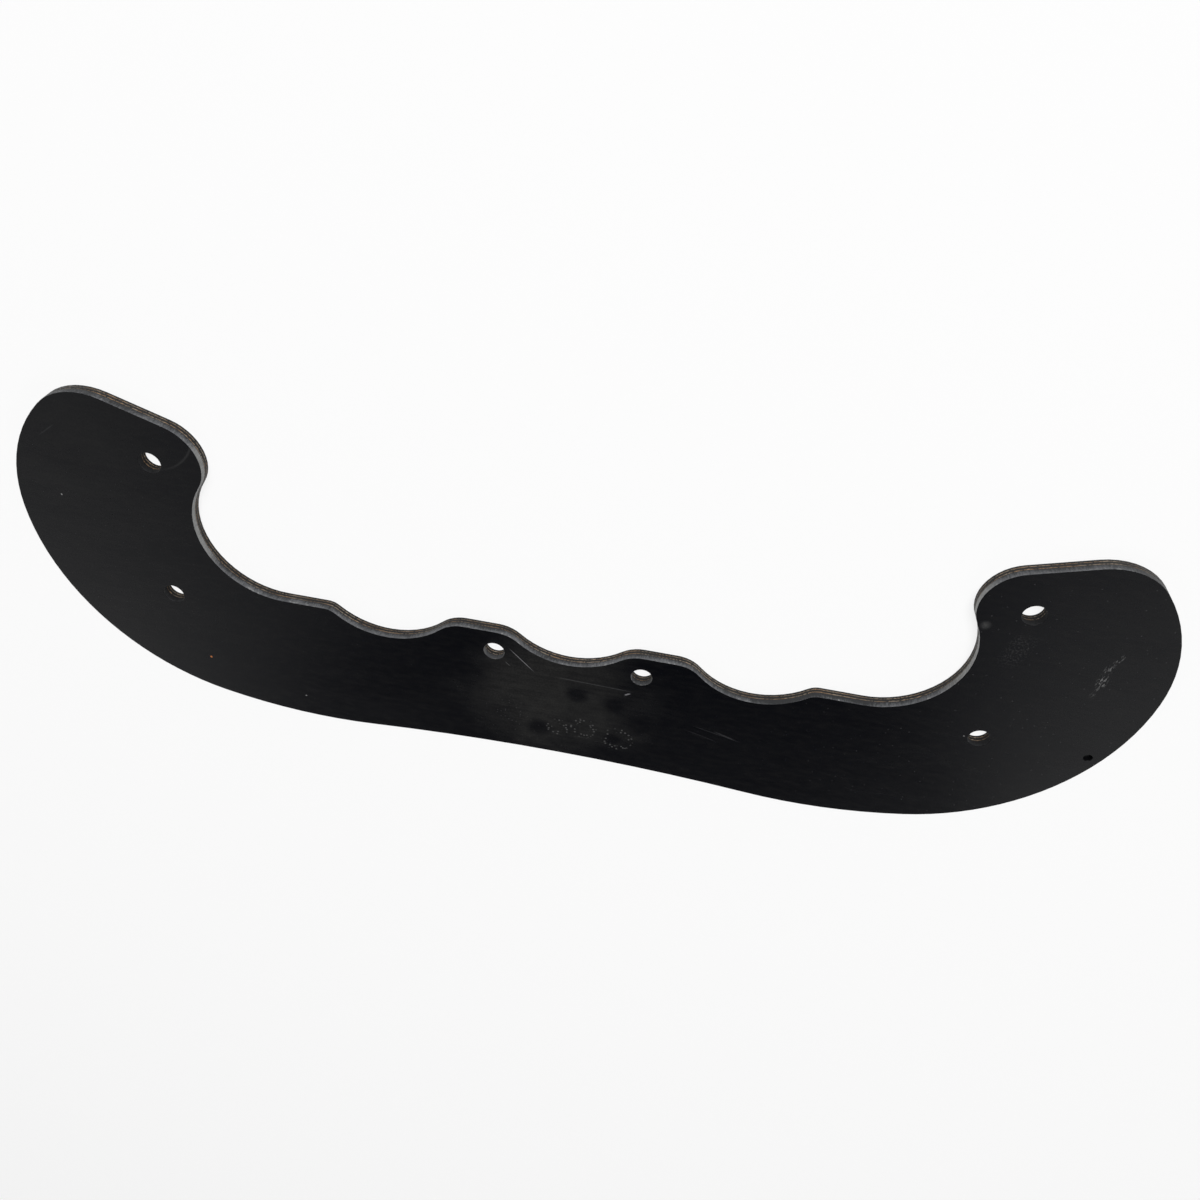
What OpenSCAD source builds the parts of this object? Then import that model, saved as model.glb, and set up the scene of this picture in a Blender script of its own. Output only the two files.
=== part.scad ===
// Rotor blade of a single-stage snow blower: a flat blade, die-cut in one piece from rubber sheet
// with two fabric plies in it, and bolted to the machine's rotor through six holes.
// X runs along the blade, Y from the outer edge to the ears, and Z from the back face to the front.
// The origin lies on the back face, midway between the two inner bolt holes.

/* [Blade] */
// Overall length, from end to end
blade_l = 508; // [480:1:760]
// Thickness of the sheet
blade_t = 6.35; // [3:0.05:16]

/* [Outer edge] */
// Distance of the outer edge's two lowest points from the bolt row
edge_drop = 68.2; // [62:0.1:80]
// Distance of those points from the blade's ends
heel_inset = 135; // [110:1:160]
// Radius of the heels, the rounds at those points
heel_r = 240; // [150:5:400]
// How far the edge is hollowed between the heels, at the middle of the blade
edge_hollow = 5.7; // [2:0.1:12]
// Radius of the side below its widest point
side_low_r = 103; // [88:1:120]
// Radius of the side above its widest point
side_high_r = 80; // [68:1:110]

/* [Ears] */
// Height of the ear's outer corner above the bolt row
ear_h = 103; // [90:0.5:112]
// Radius of the ear's outer corner
ear_corner_r = 28; // [18:1:38]
// How far the ear's tip reaches over the bay, past the bay's wall
ear_reach = 9; // [4:0.5:16]
// Radius of the ear's tip
ear_tip_r = 19; // [12:0.5:26]

/* [Bay between the ears] */
// Width of the arm below the ear, from the blade's end to the bay's wall
arm_w = 81; // [70:0.5:90]
// Radius of the bay's corners
bay_r = 37; // [28:0.5:44]
// Height of the bay's floor above the bolt row
bay_floor = 7.8; // [4:0.1:11]

/* [Hollows and lands] */
// Radius of the three hollows
hollow_r = 37; // [28:0.5:46]
// Distance from the middle hollow to each side hollow
hollow_pitch = 87; // [76:0.5:98]
// How far the middle hollow reaches past the bolt row
mid_hollow_dip = 0.7; // [0:0.1:8]
// How far a side hollow reaches past the bolt row
side_hollow_dip = 3.3; // [0:0.1:12]
// Height of the two lands between the hollows above the bolt row
land_h = 12; // [8:0.5:16]
// Radius of the lands' ends
land_r = 16; // [6:0.5:24]
// Radius of the crest between a side hollow and the bay's floor
crest_r = 8; // [3:0.5:14]

/* [Holes] */
// Diameter of the six bolt holes
bolt_d = 10; // [4:0.1:13]
// Distance between the two inner holes
inner_pitch = 70; // [60:0.5:80]
// Distance of the lower holes from the blade's ends
lower_inset = 63; // [40:0.5:74]
// Distance of the upper holes from the blade's ends
upper_inset = 67; // [50:0.5:76]
// Height of the upper holes above the bolt row
upper_rise = 74; // [60:0.5:82]
// Diameter of the wear hole, which shows how far the side beside it has worn
wear_d = 4; // [2:0.1:8]
// Distance of the wear hole from that side, along the bolt row
wear_inset = 6.5; // [5:0.1:30]

/* [Hidden] */

$fn = 360;
// How far a cutter passes the faces that it cuts
lap = 1;
// Grid on which the outline's arcs and straight runs meet
grid = 0.001;
// Grid on which a radius that is worked out lies
radius_grid = 0.01;
end_x = blade_l / 2;

// Centres of the arcs of the outer edge and the side. The hollow between the heels touches them
// from outside, so its radius and a heel's add up to that of one arc over the same span and rise.
// The side's lower arc touches its heel from inside.
heel_c = [end_x - heel_inset, heel_r - edge_drop];
edge_r = to_grid(arc_radius(heel_c.x, edge_hollow) - heel_r, radius_grid);
edge_c = [0, edge_hollow - edge_drop - edge_r];
side_low_c = at_x(heel_c, heel_r - side_low_r, end_x - side_low_r, -1);
side_high_c = [end_x - side_high_r, side_low_c.y];

// Centres of the arcs of the bay and the ear. The ear's tip touches the bay's corner, and its
// outer corner touches the side's upper arc from inside. The top edge runs between the two.
bay_c = [end_x - arm_w - bay_r, bay_floor + bay_r];
tip_c = at_x(bay_c, bay_r + ear_tip_r, end_x - arm_w - ear_reach + ear_tip_r, 1);
corner_c = at_height(side_high_c, side_high_r - ear_corner_r, ear_h - ear_corner_r, 1);
ear_top = run_over(corner_c, ear_corner_r, tip_c, ear_tip_r);

// Centres of the hollows, and of the rounds that touch them: the crest and the lands' two ends
mid_c = [0, hollow_r - mid_hollow_dip];
side_c = [hollow_pitch, hollow_r - side_hollow_dip];
crest_c = at_height(side_c, hollow_r + crest_r, bay_floor - crest_r, 1);
land_out_c = at_height(side_c, hollow_r + land_r, land_h - land_r, -1);
land_in_c = at_height(mid_c, hollow_r + land_r, land_h - land_r, 1);

// The outline's right half, anticlockwise from the outer edge to the middle hollow. Each row is a
// point and the radius of the arc that leads on from it: above 0 it bulges out, below 0 it bites
// in, and 0 is a straight run.
right_half = [
    [edge_c + edge_r * unit(heel_c - edge_c), heel_r],
    [side_low_c + side_low_r * unit(side_low_c - heel_c), side_low_r],
    [[end_x, side_low_c.y], side_high_r],
    [corner_c + ear_corner_r * unit(corner_c - side_high_c), ear_corner_r],
    [ear_top[0], 0],
    [ear_top[1], ear_tip_r],
    [tip_c + ear_tip_r * unit(bay_c - tip_c), -bay_r],
    [[bay_c.x, bay_floor], 0],
    [[crest_c.x, bay_floor], crest_r],
    [crest_c + crest_r * unit(side_c - crest_c), -hollow_r],
    [land_out_c + land_r * unit(side_c - land_out_c), land_r],
    [[land_out_c.x, land_h], 0],
    [[land_in_c.x, land_h], land_r],
    [land_in_c + land_r * unit(mid_c - land_in_c), -hollow_r],
];
last = len(right_half) - 1;
left_half = [for (i = [last : -1 : 0]) [flip(right_half[i][0]), i > 0 ? right_half[i - 1][1] : -edge_r]];
outline = [for (row = concat(right_half, left_half)) [snapped(row[0]), row[1]]];

bolt_holes = [
    [inner_pitch / 2, 0],
    [end_x - lower_inset, 0],
    [end_x - upper_inset, upper_rise],
];
wear_hole = at_height(side_low_c, side_low_r, 0, 1) - [wear_inset, 0];

function unit(v) = v / norm(v);
function left_of(v) = [-v.y, v.x];
function flip(p) = [-p.x, p.y];
function to_grid(value, step) = round(value / step) * step;
function snapped(p) = [to_grid(p.x, grid), to_grid(p.y, grid)];
// The other short side of a right-angled triangle
function leg(long_side, short_side) = sqrt(long_side * long_side - short_side * short_side);
// The radius of an arc that starts level and rises this far over this span
function arc_radius(span, rise) = (span * span + rise * rise) / (2 * rise);
// The point at distance d from c that lies at height y, right of c with side 1, left of it with -1
function at_height(c, d, y, side) = [c.x + side * leg(d, y - c.y), y];
// The point at distance d from c that lies at x, above c with side 1, below it with -1
function at_x(c, d, x, side) = [x, c.y + side * leg(d, x - c.x)];
// The straight run that lies over circle 1 and then circle 2, to the left of circle 1
function run_over(c1, r1, c2, r2) =
    let (way = c2 - c1, l = norm(way), lean = (r1 - r2) / l)
    let (out = lean * unit(way) - leg(1, lean) * left_of(unit(way)))
    [c1 + r1 * out, c2 + r2 * out];

// Moves in three steps, each finer than the last, so that an arc ends exactly where the next begins
module place(v) {
    coarse = [round(v.x), round(v.y)];
    fine = snapped(v - coarse);
    translate(coarse)
        translate(fine)
            translate(v - coarse - fine)
                children();
}

// The piece of a circle between its arc and the chord from a to b
module cap(a, b, radius) {
    way = b - a;
    side = -sign(radius) * left_of(unit(way));
    r = abs(radius);
    centre_h = leg(r, norm(way) / 2);
    past_arc = side * (r - centre_h + lap);
    translate(a)
        intersection() {
            place(way / 2 - side * centre_h)
                circle(r);
            polygon([[0, 0], way, way + past_arc, past_arc]);
        }
}

// All caps that bulge out, with kind 1, or all that bite in, with kind -1
module caps(rows, kind) {
    count = len(rows);
    for (i = [0 : count - 1])
        if (rows[i][1] * kind > 0)
            cap(rows[i][0], rows[(i + 1) % count][0], rows[i][1]);
}

// A closed outline of straight runs and true arcs, from rows of [point, radius]
module arc_polygon(rows) {
    difference() {
        union() {
            polygon([for (row = rows) row[0]]);
            caps(rows, 1);
        }
        caps(rows, -1);
    }
}

module hole(at, d) {
    translate([at.x, at.y, -lap])
        cylinder(d = d, h = blade_t + 2 * lap);
}

module rotor_blade() {
    color([0.13, 0.13, 0.14])
        difference() {
            linear_extrude(blade_t)
                arc_polygon(outline);
            for (at = bolt_holes) {
                hole(at, bolt_d);
                hole(flip(at), bolt_d);
            }
            hole(wear_hole, wear_d);
        }
}

rotor_blade();
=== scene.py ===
"""Looks for a snow blower's rotor blade: black rubber sheet, with two fabric plies in its cut edges."""

from math import cos, pi, radians, sin

import bmesh
import bpy
from mathutils import Matrix, Vector


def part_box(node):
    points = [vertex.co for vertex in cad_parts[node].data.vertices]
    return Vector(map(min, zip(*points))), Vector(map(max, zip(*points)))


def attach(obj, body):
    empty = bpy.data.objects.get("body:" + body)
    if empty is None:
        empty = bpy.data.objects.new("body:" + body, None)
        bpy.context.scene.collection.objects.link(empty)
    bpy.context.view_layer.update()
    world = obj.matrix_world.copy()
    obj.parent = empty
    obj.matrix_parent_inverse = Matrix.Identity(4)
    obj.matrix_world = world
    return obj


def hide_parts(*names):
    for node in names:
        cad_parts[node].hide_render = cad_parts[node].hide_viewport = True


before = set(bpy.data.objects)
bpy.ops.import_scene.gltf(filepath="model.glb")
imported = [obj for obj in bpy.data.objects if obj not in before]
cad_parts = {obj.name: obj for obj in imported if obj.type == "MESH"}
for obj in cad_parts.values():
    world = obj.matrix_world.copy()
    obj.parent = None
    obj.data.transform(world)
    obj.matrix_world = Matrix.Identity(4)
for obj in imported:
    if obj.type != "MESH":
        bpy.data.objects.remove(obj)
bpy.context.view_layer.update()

MM = 0.001
low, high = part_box("rotor_blade")

# The sheet, from its back face up, in millimetres: the back cover, a ply, the rubber between the
# plies, a ply again, and the front cover, which starts with a dark skim. Feet are lower faces.
THICKNESS = (high[2] - low[2]) / MM
BACK_COVER = 0.13 * THICKNESS
PLY = 0.11 * THICKNESS
BETWEEN = 0.16 * THICKNESS
PLY_FEET = (BACK_COVER, BACK_COVER + PLY + BETWEEN)
COVER_FOOT = PLY_FEET[1] + PLY
SKIM = 0.25

# The cut edges, in millimetres: the rounding of their arrises, how far a ply sits back behind the
# rubber it was cut with, and the width of the step down to it
ARRIS = 0.35
SUNK = 0.12
LIP = 0.07

# The plies' weave, in millimetres, and how much of the weft shows beside the warp
YARN_PITCH = 1.6
YARN_HALF_WIDTH = 0.62
YARN_HALF_HEIGHT = 0.26
CRIMP = 0.06
WEFT_SHOWS = 0.75

# Holes whose walls get painted shade, darker than the outer edges: x on either side, y, and how much darker
SHADED_BORES = ((35, 0, 0.4), (191, 0, 0.85), (187, 74, 0.9))
BORE_REACH = 6
WEAR_HOLE = (240, 0)
WEAR_REACH = 3.5

# Where the cover gets painted light, on the bay's end walls, and where it is darker, at the blade's ends
# and on one crest
BAY_END = 185
DARK_END = 215
DARK_CREST = (112, 8)

# Colours of the cut edges
COVER_DARK = (0.020, 0.021, 0.023, 1)
COVER_LIGHT = (0.128, 0.132, 0.140, 1)
# Chalky flecks near the front arris, also a painted highlight along it
COVER_CHALK_AND_GLINT = (0.28, 0.28, 0.28, 1)
# Painted light on the bay's end walls
COVER_LIT = (0.38, 0.38, 0.37, 1)
# Painted shade in the holes' walls, and the cover's darker ends
COVER_DARKEST = (0.006, 0.006, 0.007, 1)
BACK_DARK = (0.006, 0.006, 0.007, 1)
BACK_LIGHT = (0.035, 0.035, 0.036, 1)
SKIM_DARK = (0.003, 0.003, 0.003, 1)
SKIM_LIGHT = (0.014, 0.013, 0.012, 1)
YARN_TAN = (0.34, 0.22, 0.13, 1)
YARN_DUSTY = (0.36, 0.295, 0.225, 1)

# Colours of the two faces and of what lies on the front one
BLACK_RUBBER = (0.0006, 0.0009, 0.0024, 1)
BLACK_CLOUDED = (0.0016, 0.0018, 0.0030, 1)
BLACK_MOTTLED = (0.0042, 0.0042, 0.0050, 1)
# The dull film, whose colour also paints a reflection at both ends of the face
FILM_AND_SHEEN = (0.0205, 0.0203, 0.0198, 1)
DRIED_DROPLETS = (0.09, 0.09, 0.09, 1)
DUST = (0.075, 0.075, 0.078, 1)
SCRATCHED = (0.22, 0.22, 0.23, 1)
ABRADED = (0.06, 0.058, 0.06, 1)
PATCHED = (0.07, 0.07, 0.07, 1)
CHALKED = (0.13, 0.13, 0.13, 1)
RUBBED = (0.06, 0.06, 0.06, 1)
LIGHT_DIRT = (0.2, 0.2, 0.2, 1)
RUST = (0.42, 0.15, 0.05, 1)

# Marks on the front face, in millimetres: centres and radii, or ends, width and strength
SMUDGES = (((24.5, -21.5), 5), ((-11, -46.5), 5.5), ((26, -45.5), 4), ((6, -19), 5), ((39, -31), 7))
DROPLET_RINGS = (((11, -41.5), 5.5), ((28.5, -45), 6.5), ((-1.5, -44.0), 4.5))
SCRATCHES = (
    ((-26.4, 2.0), (-16.9, -7.3), 0.35, 0.9),
    ((-29.3, -5.6), (-27.3, -7.4), 0.3, 0.35),
    ((-2.2, -9.7), (30.1, -10.4), 0.6, 0.13),
    ((75.0, -27.5), (83.1, -30.0), 0.6, 0.16),
    ((65.3, -26.2), (85.0, -30.8), 0.3, 0.12),
    ((62.0, -30.0), (74.0, -33.2), 0.3, 0.1),
    ((-234.1, 79.5), (-227.4, 84.8), 0.5, 0.06),
    ((28.8, -13.2), (31.0, -11.8), 0.8, 0.9),
)
SCUFF = (
    ((225.8, 36.5), (226.3, 42.5), 2.2, 0.4),
    ((226.4, 43.0), (226.2, 49.0), 3.6, 1.0),
    ((225.9, 50.5), (226.3, 54.5), 3.0, 0.8),
    ((226.8, 56.0), (228.6, 61.0), 1.8, 0.8),
)
ABRASION = ((186.0, 47.0), (189.0, 62.0), 9)
RUB_CENTRE = (-189, 94.5)
RUB_RADIUS = 24
RUB_START = -178
RUST_SPECK = (-179.3, -38.9)
PALE_PATCH = (170.4, 65.0)
LIGHT_SPECKS = (((-131.6, -54.8), 0.4), ((-233.3, 48.7), 0.4), ((184.2, -0.2), 0.35))

# The studio, in metres, and the share of its look that is its own light
BOWL_RADIUS = 14.0
COVE_RADIUS = 3.0
WALL_HEIGHT = 9.4
OWN_LIGHT = 0.8

# The lamps: place in metres and power in watts. All are discs of one size, aimed at the origin.
LAMP_SIZE = 1.8
LAMPS = {
    "key": ((0.2, 1.3, 2.0), 55),
    "left_fill": ((-1.65, -1.45, 2.1), 4.2),
    "right_fill": ((1.85, -1.55, 2.0), 7),
}
ROOM_LIGHT = 0.1

# The camera, in metres, with its focal length in pixels of an image 1200 wide
CAMERA_PLACE = (0.0327, 0.3082, 0.3191)
CAMERA_AHEAD = (-0.0523, -0.6469, -0.7608)
CAMERA_UP = (-0.1729, 0.7562, -0.6311)
FOCAL_PX = 942
IMAGE_PX = 1200


class Val:
    """A socket that Python's operators add Math nodes to."""

    def __init__(self, tree, socket):
        self.tree = tree
        self.socket = socket

    def math(self, operation, *others):
        return self.tree.node("ShaderNodeMath", {"operation": operation}, dict(enumerate((self, *others))))

    def __add__(self, other):
        return self.math("ADD", other)

    __radd__ = __add__

    def __mul__(self, other):
        return self.math("MULTIPLY", other)

    __rmul__ = __mul__

    def __sub__(self, other):
        return self.math("SUBTRACT", other)

    def __rsub__(self, other):
        return self * -1 + other

    def __truediv__(self, other):
        return self.math("DIVIDE", other)

    def __abs__(self):
        return self.math("ABSOLUTE")

    def over(self, edge, soft):
        """Rises from 0 to 1 as this value passes edge."""
        return self.tree.node("ShaderNodeMapRange", {"interpolation_type": "SMOOTHSTEP"},
                              {"Value": self, "From Min": edge - soft, "From Max": edge + soft})

    def under(self, edge, soft):
        return 1 - self.over(edge, soft)

    def between(self, start, end, soft):
        return self.over(start, soft) * self.under(end, soft)

    def most(self, other):
        return self.math("MAXIMUM", other)


class Tree:
    """A material's nodes. Its x, y and z are Object coordinates in millimetres."""

    def __init__(self, name):
        self.material = bpy.data.materials.new(name)
        self.material.use_nodes = True
        self.nodes = self.material.node_tree.nodes
        self.links = self.material.node_tree.links
        self.shader = self.nodes["Principled BSDF"]
        metres = self.node("ShaderNodeTexCoord", {}, {}, "Object")
        self.place = self.node("ShaderNodeVectorMath", {"operation": "SCALE"}, {0: metres, "Scale": 1 / MM})
        self.flat = self.node("ShaderNodeVectorMath", {"operation": "MULTIPLY"},
                              {0: self.place, 1: (1, 1, 0)})
        split = self.node("ShaderNodeSeparateXYZ", {}, {"Vector": self.place}, None)
        self.x, self.y, self.z = (Val(self, socket) for socket in split.outputs)

    def node(self, kind, settings, inputs, output=0):
        made = self.nodes.new(kind)
        for key, value in settings.items():
            setattr(made, key, value)
        for key, value in inputs.items():
            self.plug(made.inputs[key], value)
        return made if output is None else Val(self, made.outputs[output])

    def plug(self, socket, value):
        if isinstance(value, Val):
            self.links.new(value.socket, socket)
        else:
            socket.default_value = value

    def set(self, shader, **values):
        for key, value in values.items():
            self.plug(shader.inputs[key.replace("_", " ")], value)

    def noise(self, period, detail, stretch=(1, 1, 1), shift=(0, 0, 0)):
        """Noise whose blotches are about a period of millimetres apart, longer where stretch is over 1."""
        squeeze = [1 / (period * s) for s in stretch]
        place = self.node("ShaderNodeVectorMath", {"operation": "MULTIPLY_ADD"},
                          {0: self.place, 1: squeeze, 2: shift})
        return self.node("ShaderNodeTexNoise", {}, {"Vector": place, "Scale": 1, "Detail": detail}, "Fac")

    def dots(self, pitch, size, share):
        """Round dots scattered over the face, in this share of the cells of a grid of this pitch."""
        cells = self.node("ShaderNodeTexVoronoi", {"voronoi_dimensions": "2D"},
                          {"Vector": self.flat, "Scale": 1 / pitch}, None)
        chance = self.node("ShaderNodeSeparateColor", {}, {0: Val(self, cells.outputs["Color"])})
        dot = Val(self, cells.outputs["Distance"]).under(size / pitch, 0.1 * size / pitch)
        return dot * chance.under(share, 0.01)

    def far(self, centre):
        """Distance from the upright line through this x and y."""
        return self.node("ShaderNodeVectorMath", {"operation": "DISTANCE"},
                         {0: self.flat, 1: (*centre, 0)}, "Value")

    def blot(self, centre, radius, soft):
        """A round spot."""
        return self.far(centre).under(radius, soft)

    def along(self, way):
        """Distance from the origin in this direction, a flat unit vector."""
        return self.node("ShaderNodeVectorMath", {"operation": "DOT_PRODUCT"},
                         {0: self.flat, 1: (*way, 0)}, "Value")

    def stroke(self, start, end, width):
        """A straight band from start to end."""
        first = Vector(start)
        span = Vector(end) - first
        ahead = span.normalized()
        aside = ahead.orthogonal()
        gone = self.along(ahead) - ahead.dot(first)
        off = self.along(aside) - aside.dot(first)
        taper = min(span.length / 4, 4)
        return gone.between(0, span.length, taper) * abs(off).under(width / 2, width / 4)

    def mix(self, factor, a, b):
        """Colour a, and colour b where the factor is 1."""
        return self.node("ShaderNodeMix", {"data_type": "RGBA"}, {0: factor, 6: a, 7: b}, 2)

    def layered(self, factor, under, top):
        """Makes the surface of one shader, and of the other where the factor is 1."""
        surface = self.node("ShaderNodeMixShader", {}, {0: factor, 1: Val(self, under.outputs[0]),
                                                        2: Val(self, top.outputs[0])})
        self.plug(self.nodes["Material Output"].inputs["Surface"], surface)

    def bump(self, height, distance, strength):
        return self.node("ShaderNodeBump", {}, {"Strength": strength, "Distance": distance * MM,
                                                "Height": height})


def yarns(tree, across, along, height, turn):
    """Where a cut passes through the yarns of one direction, which rise and fall with the weave."""
    lane = across / YARN_PITCH
    nearest = lane.math("ROUND")
    aside = (lane - nearest) * (YARN_PITCH / YARN_HALF_WIDTH)
    wave = (along * (pi / YARN_PITCH)).math("COSINE") * (nearest * pi).math("COSINE")
    rise = (height - wave * (turn * CRIMP)) / YARN_HALF_HEIGHT
    return (aside * aside + rise * rise).under(1, 0.35)


def ply(tree, foot):
    """Both sets of yarns in the ply that starts at this height. The warp runs along the blade."""
    height = tree.z - (foot + PLY / 2)
    drift = tree.noise(25, 2, shift=(foot, 0, 0)) * 4
    warp = yarns(tree, tree.y + drift, tree.x, height, 1)
    weft = yarns(tree, tree.x + drift, tree.y, height, -1)
    return warp.most(weft * WEFT_SHOWS)


def hole_wall_shade(tree):
    """Painted shade: where the cover is darker, in the walls of the holes."""
    aside = abs(tree.x)
    dark = 0
    for x, y, share in SHADED_BORES:
        across = aside - x
        up = tree.y - y
        dark = (across * across + up * up).under(BORE_REACH ** 2, 4) * share + dark
    return dark


def lit_bay_walls(tree):
    """Where painted light makes the cover pale, on the bay's walls that face along the blade."""
    normal = tree.node("ShaderNodeTexCoord", {}, {}, "Normal")
    sideways = tree.node("ShaderNodeSeparateXYZ", {}, {"Vector": normal})
    return abs(sideways).over(0.88, 0.12) * abs(tree.x).under(BAY_END, 4)


def cover(tree, drag, blotch, tone, shade_and_dark_ends):
    """The front cover's rubber: chalky flecks near the front arris that also paint a highlight there,
    painted light on the bay's walls, painted shade in the holes' walls, and darker at the blade's ends.
    """
    # Chalky flecks near the front arris, which also paint a highlight along it
    chalk_and_glint_fringe = tree.z.over(THICKNESS - 1.0, 0.7) * blotch.over(0.5, 0.08)
    colour = tree.mix(tone, COVER_DARK, COVER_LIGHT)
    colour = tree.mix(tree.noise(1.2, 4).over(0.58, 0.05) * chalk_and_glint_fringe, colour, COVER_CHALK_AND_GLINT)
    # Painted light on the bay's walls that face along the blade
    colour = tree.mix(lit_bay_walls(tree) * (drag * 0.8 + 0.2), colour, COVER_LIT)
    # Painted shade in the holes' walls, and darker at the blade's ends
    return tree.mix(shade_and_dark_ends, colour, COVER_DARKEST)


def fabric(tree):
    """Where yarn ends show, frayed by the cut and buried here and there."""
    frayed = tree.noise(1.3, 3).over(0.42, 0.16) * 0.85 + 0.15
    buried = tree.noise(26, 2).over(0.5, 0.1) * 0.5
    return (ply(tree, PLY_FEET[0]) + ply(tree, PLY_FEET[1])) * frayed * (1 - buried)


def cut(tree):
    """The cut edges: grey cover rubber, and tan yarn ends in black rubber behind it."""
    shader = tree.node("ShaderNodeBsdfPrincipled", {}, {}, None)
    drag = tree.noise(0.7, 4, (1, 1, 4))
    fleck = tree.noise(0.5, 2)
    blotch = tree.noise(14, 3)
    woven = fabric(tree)
    # Painted shade in the holes' walls
    walls = hole_wall_shade(tree)
    rise = (tree.z - COVER_FOOT) / (THICKNESS - COVER_FOOT)
    ends = abs(tree.x).over(DARK_END, 20)
    dark = ends.most(tree.blot(DARK_CREST, 24, 12))
    tone = (drag + blotch * 1.2 + fleck * 0.5 + rise * 0.5 - dark * 0.3).over(1.62, 0.34)
    yarn = tree.mix(tree.noise(6, 2).over(0.5, 0.15), YARN_TAN, YARN_DUSTY)
    colour = tree.mix(woven, tree.mix(drag, SKIM_DARK, SKIM_LIGHT), yarn)
    colour = tree.mix(tree.z.under(BACK_COVER, 0.1), colour, tree.mix(tone, BACK_DARK, BACK_LIGHT))
    front_cover = cover(tree, drag, blotch, tone, walls.most(ends * 0.5))
    colour = tree.mix(tree.z.over(COVER_FOOT + SKIM, 0.12), colour, front_cover)
    rough = drag * 0.2 + 0.35 + woven * 0.4 + walls * 0.35
    tree.set(shader, Base_Color=colour, Roughness=rough, Specular_IOR_Level=0.25,
             Normal=tree.bump(woven + drag + fleck, 0.12, 0.7))
    return shader


def film_and_end_sheen(tree):
    """The dull film on the face, thickest where the middle was wiped, and a painted reflection that
    lightens both ends.
    """
    wiped = tree.noise(1.5, 4, (14, 1, 1))
    smeared = tree.noise(3.5, 4, (1.6, 1, 1), (5, 0, 0))
    far_in = (tree.x + 2) / 46
    far_down = (tree.y + 22) / 42
    patch = (far_in * far_in + far_down * far_down + tree.noise(22, 4) * 2.2).under(1.75, 0.9)
    # Painted reflection: the face is lighter at both ends
    ends = abs(tree.x - 20).over(195, 60)
    middle = patch * (wiped * 0.8 + smeared * 0.8 - 0.05)
    return middle + ends * (tree.noise(12, 3, (3, 1, 1)) * 0.35 + 0.07) + wiped * 0.05


def droplets(tree, colour, front):
    """Rings of dried droplets."""
    beads = tree.dots(2.2, 0.5, 0.8) * front
    for centre, radius in DROPLET_RINGS:
        ring = tree.far(centre).between(radius - 1.6, radius + 1.2, 0.5)
        colour = tree.mix(ring * beads * 0.6, colour, DRIED_DROPLETS)
    return colour


def dust(tree, colour, front):
    """Fine dust, more of it to the right, and spray beside the rings."""
    spray = tree.dots(1.9, 0.3, 0.22) * tree.blot((-24, -42), 14, 10) * 0.7
    patchy = tree.noise(12, 3).over(0.5, 0.15)
    specks = tree.dots(5, 0.3, 0.33) * tree.x.over(110, 40) * patchy * 0.7
    return tree.mix((specks + spray) * front * 0.5, colour, DUST)


def scratches(tree, colour, front):
    """Thin broken scratches."""
    broken = tree.noise(0.8, 3) * 0.8 + 0.4
    for start, end, width, strength in SCRATCHES:
        line = tree.stroke(start, end, width) * broken * strength
        colour = tree.mix(line * front, colour, SCRATCHED)
    return colour


def worn_spots(tree, colour, front):
    """An abraded stretch, a pale patch and the arc that something round has rubbed."""
    bits = tree.noise(0.9, 4).over(0.56, 0.06)
    colour = tree.mix(tree.stroke(*ABRASION) * bits * front * 0.25, colour, ABRADED)
    colour = tree.mix(tree.blot(PALE_PATCH, 1.6, 1.4) * (bits * 0.25 + 0.45) * front, colour, PATCHED)
    rub = tree.far(RUB_CENTRE).between(RUB_RADIUS - 0.4, RUB_RADIUS + 0.4, 0.4)
    return tree.mix(rub * tree.x.over(RUB_START, 8) * front * 0.25, colour, RUBBED)


def scuff(tree, colour, front):
    """A broken chalky smear."""
    chalk = tree.noise(0.9, 4, (0.8, 2.5, 1)).over(0.55, 0.06) * front
    for start, end, width, strength in SCUFF:
        colour = tree.mix(tree.stroke(start, end, width) * chalk * strength, colour, CHALKED)
    return colour


def specks(tree, colour, front):
    """Three light specks and one of rust."""
    for centre, radius in LIGHT_SPECKS:
        colour = tree.mix(tree.blot(centre, radius, 0.25) * front, colour, LIGHT_DIRT)
    return tree.mix(tree.blot(RUST_SPECK, 0.6, 0.2) * front, colour, RUST)


def skin(tree):
    """The two faces: black rubber with a dull film, wear and dirt on the front one, and a painted
    reflection at both of its ends.
    """
    front = tree.z.over(THICKNESS / 2, 0.1)
    grain = tree.noise(0.9, 3)
    cloud = tree.noise(60, 4, (2, 1, 1))
    mottle = tree.noise(2.2, 4, (3, 1, 1))
    colour = tree.mix(cloud, BLACK_RUBBER, BLACK_CLOUDED)
    colour = tree.mix(mottle.over(0.55, 0.15) * 0.6, colour, BLACK_MOTTLED)
    # The film, with a painted reflection at both ends
    film = film_and_end_sheen(tree)
    for centre, radius in SMUDGES:
        film = film * (1 - tree.blot(centre, radius, radius * 0.5) * 0.8)
    colour = tree.mix(film * (grain * 1.4 + 0.3) * front, colour, FILM_AND_SHEEN)
    for layer in (droplets, dust, scratches, worn_spots, scuff, specks):
        colour = layer(tree, colour, front)
    wiped = tree.noise(5, 4, (7, 1, 1), (3, 0, 0))
    tree.set(tree.shader, Base_Color=colour, Roughness=cloud * 0.1 + mottle * 0.06 + wiped * 0.1 + 0.11,
             Specular_IOR_Level=0.12, Normal=tree.bump(grain, 0.02, 0.5))
    return tree.shader


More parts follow.
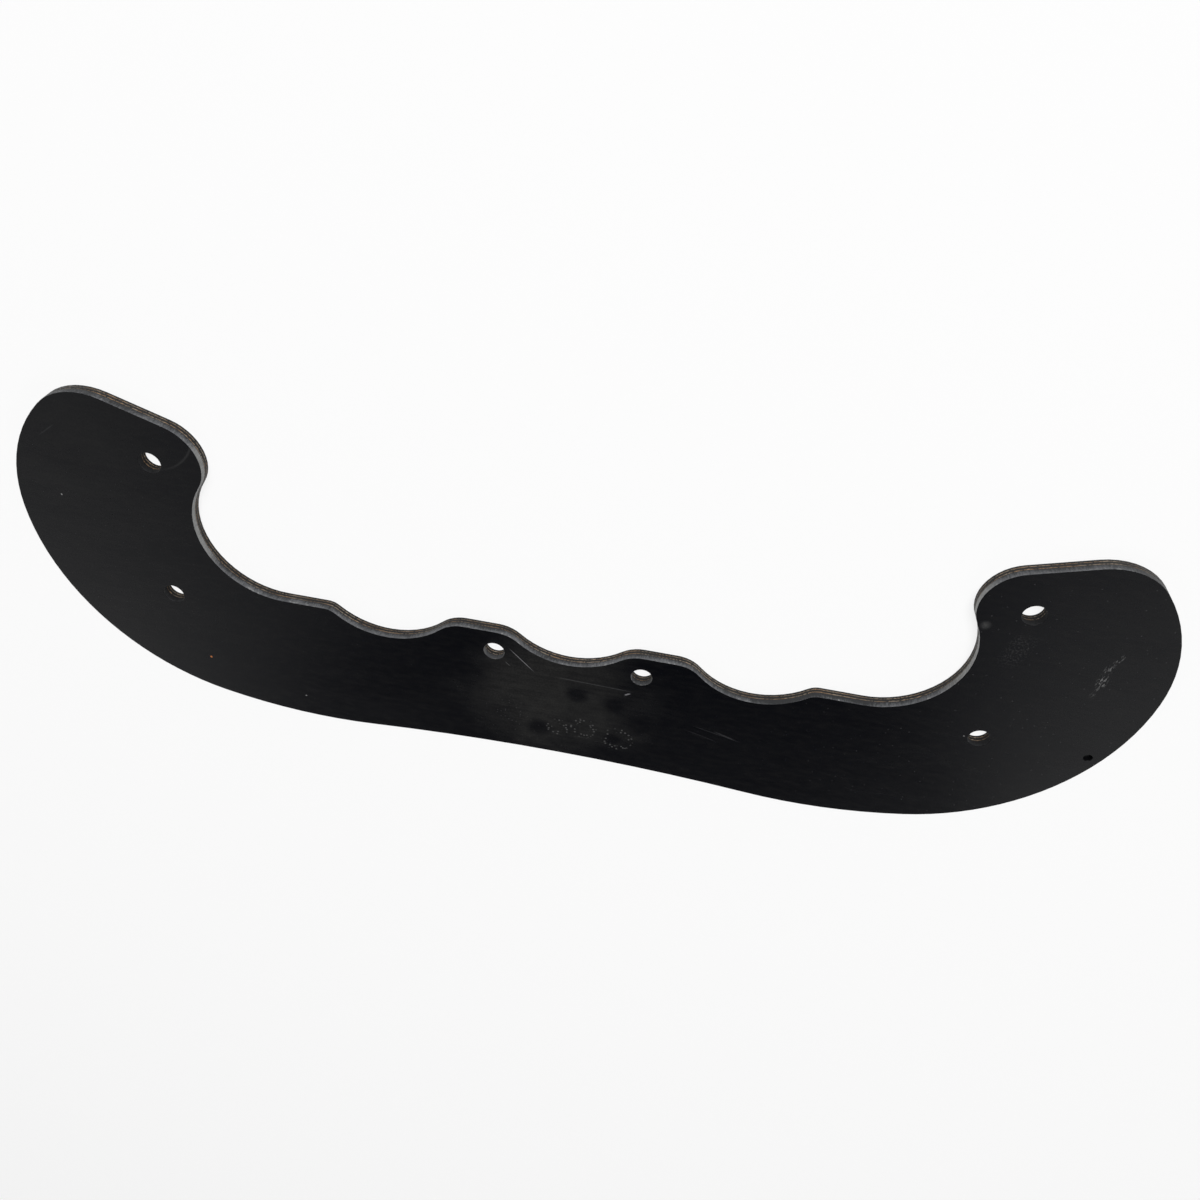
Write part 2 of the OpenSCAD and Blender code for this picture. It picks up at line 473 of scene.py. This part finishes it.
def rubber():
    """The sheet's material. Its height tells a face from a cut edge. The wear hole is black all through."""
    tree = Tree("ply_rubber")
    face = tree.z.over(THICKNESS - 0.06, 0.04) + tree.z.under(0.06, 0.04)
    tree.layered(face.most(tree.blot(WEAR_HOLE, WEAR_REACH, 0.5)), cut(tree), skin(tree))
    return tree.material


def backdrop():
    """Pale matt paint that the camera and reflections see partly by its own light."""
    tree = Tree("backdrop")
    tree.set(tree.shader, Base_Color=(0.93, 0.93, 0.93, 1), Roughness=1.0)
    path = tree.node("ShaderNodeLightPath", {}, {}, None)
    seen = Val(tree, path.outputs["Is Camera Ray"])
    for ray in ("Is Glossy Ray", "Is Transmission Ray"):
        seen = seen.most(Val(tree, path.outputs[ray]))
    glow = tree.node("ShaderNodeEmission", {}, {"Color": (1, 1, 1, 1), "Strength": 1.0}, None)
    tree.layered(seen * OWN_LIGHT, tree.shader, glow)
    return tree.material


def finished(form, name, material):
    """Makes an object of a bmesh."""
    mesh = bpy.data.meshes.new(name)
    form.to_mesh(mesh)
    form.free()
    mesh.materials.append(material)
    made = bpy.data.objects.new(name, mesh)
    bpy.context.scene.collection.objects.link(made)
    return made


def sink_ply(form, foot):
    """Sets a ply a little behind the rubber that it was cut with, all round the edges and the holes."""
    for height in (foot, foot + PLY):
        everything = form.verts[:] + form.edges[:] + form.faces[:]
        bmesh.ops.bisect_plane(form, geom=everything, plane_co=(0, 0, low[2] + height * MM),
                               plane_no=(0, 0, 1), dist=1e-7)
    middle = low[2] + (foot + PLY / 2) * MM
    band = [face for face in form.faces
            if abs(face.normal.z) < 0.1 and abs(face.calc_center_median().z - middle) < PLY / 2 * MM]
    bmesh.ops.inset_region(form, faces=band, thickness=LIP * MM, depth=-SUNK * MM, use_boundary=True,
                           use_even_offset=True)


def blade():
    """A copy of the CAD sheet with rounded arrises and sunk plies."""
    form = bmesh.new()
    form.from_mesh(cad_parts["rotor_blade"].data)
    bmesh.ops.remove_doubles(form, verts=form.verts, dist=1e-6)
    bmesh.ops.dissolve_limit(form, angle_limit=radians(0.5), verts=form.verts, edges=form.edges)
    rims = [edge for edge in form.edges if edge.calc_face_angle(0) > radians(60)]
    bmesh.ops.bevel(form, geom=rims, offset=ARRIS * MM, offset_type="OFFSET", segments=3, profile=0.5,
                    affect="EDGES", material=-1, clamp_overlap=True)
    for foot in PLY_FEET:
        sink_ply(form, foot)
    for face in form.faces:
        face.smooth = True
    for edge in form.edges:
        edge.smooth = (edge.calc_face_angle(0) < radians(35)
                       and not any(abs(face.normal.z) > 0.999 for face in edge.link_faces))
    piece = finished(form, "rubber_blade", rubber())
    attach(piece, "root")
    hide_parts("rotor_blade")


def studio():
    """A pale floor that rises in a cove to a round wall, so that every view ends in it."""
    top = low[2] - 0.05 * MM
    bend = [radians(15 * step) for step in range(7)]
    profile = [(0, top)]
    profile += [(BOWL_RADIUS - COVE_RADIUS * (1 - sin(a)), top + COVE_RADIUS * (1 - cos(a))) for a in bend]
    profile += [(BOWL_RADIUS, top + WALL_HEIGHT)]
    form = bmesh.new()
    points = [form.verts.new((x, 0, z)) for x, z in profile]
    for start, end in zip(points, points[1:]):
        form.edges.new((start, end))
    bmesh.ops.spin(form, geom=form.verts[:] + form.edges[:], cent=(0, 0, 0), axis=(0, 0, 1), angle=2 * pi,
                   steps=96, use_merge=True)
    bmesh.ops.remove_doubles(form, verts=form.verts, dist=1e-5)
    bmesh.ops.recalc_face_normals(form, faces=form.faces)
    for face in form.faces:
        face.smooth = True
    finished(form, "studio", backdrop())


def lamp(name, place, power):
    data = bpy.data.lights.new(name, "AREA")
    data.shape = "DISK"
    data.size = LAMP_SIZE
    data.energy = power
    made = bpy.data.objects.new(name, data)
    made.location = place
    made.rotation_euler = (-Vector(place)).to_track_quat("-Z", "Y").to_euler()
    bpy.context.scene.collection.objects.link(made)


def camera():
    data = bpy.data.cameras.new("camera")
    data.lens = FOCAL_PX / IMAGE_PX * data.sensor_width
    back = -Vector(CAMERA_AHEAD).normalized()
    right = Vector(CAMERA_UP).cross(back).normalized()
    turn = Matrix((right, back.cross(right), back)).transposed()
    made = bpy.data.objects.new("camera", data)
    made.matrix_world = Matrix.Translation(CAMERA_PLACE) @ turn.to_4x4()
    bpy.context.scene.collection.objects.link(made)
    bpy.context.scene.camera = made


def room():
    """Even dim light from every side."""
    made = bpy.data.worlds.new("room")
    made.use_nodes = True
    made.node_tree.nodes["Background"].inputs["Color"].default_value = (1, 1, 1, 1)
    made.node_tree.nodes["Background"].inputs["Strength"].default_value = ROOM_LIGHT
    bpy.context.scene.world = made


blade()
studio()
room()
for name, (place, power) in LAMPS.items():
    lamp(name, place, power)
camera()
bpy.context.scene.view_settings.view_transform = "Standard"
